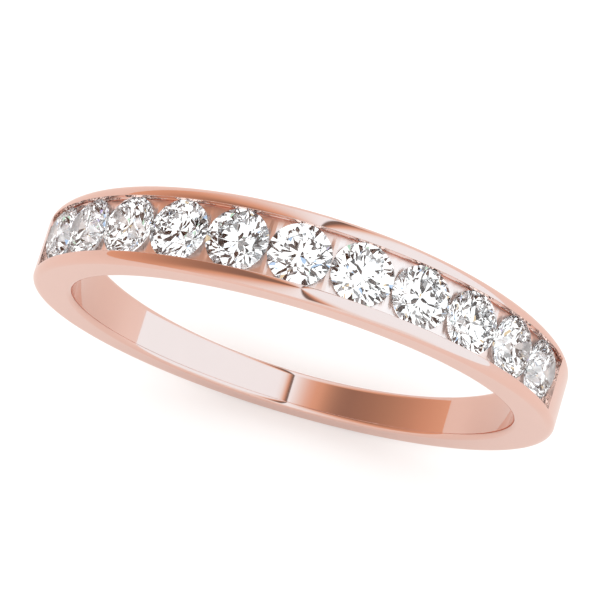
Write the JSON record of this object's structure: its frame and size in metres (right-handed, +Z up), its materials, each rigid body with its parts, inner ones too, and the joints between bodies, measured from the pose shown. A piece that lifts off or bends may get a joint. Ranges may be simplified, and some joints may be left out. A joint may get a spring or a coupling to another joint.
{
  "type": "wedding band",
  "caption": "Narrow tapering hoop with a channel of equal round brilliants along its top half, held between two smooth walls.",
  "frame": {"origin": "where the bottom of the shank touches the surface that the band stands on, below the centre of the finger hole", "axes": "+Z up, from the bottom of the shank to the middle stone; Y along the finger's axis; X across the finger hole, the row of stones running from -X to +X"},
  "size_m": [0.0206, 0.0034, 0.0206],
  "materials": {
    "rose_gold": "mirror polished rose gold",
    "diamond": "clear faceted diamond"
  },
  "bodies": {
    "root": {"shank": "rose_gold", "front_rail": "rose_gold", "rear_rail": "rose_gold", "channel_floor": "rose_gold", "diamond_01": "diamond", "diamond_02": "diamond", "diamond_03": "diamond", "diamond_04": "diamond", "diamond_05": "diamond", "diamond_06": "diamond", "diamond_07": "diamond", "diamond_08": "diamond", "diamond_09": "diamond", "diamond_10": "diamond", "diamond_11": "diamond"}
  },
  "joints": []
}
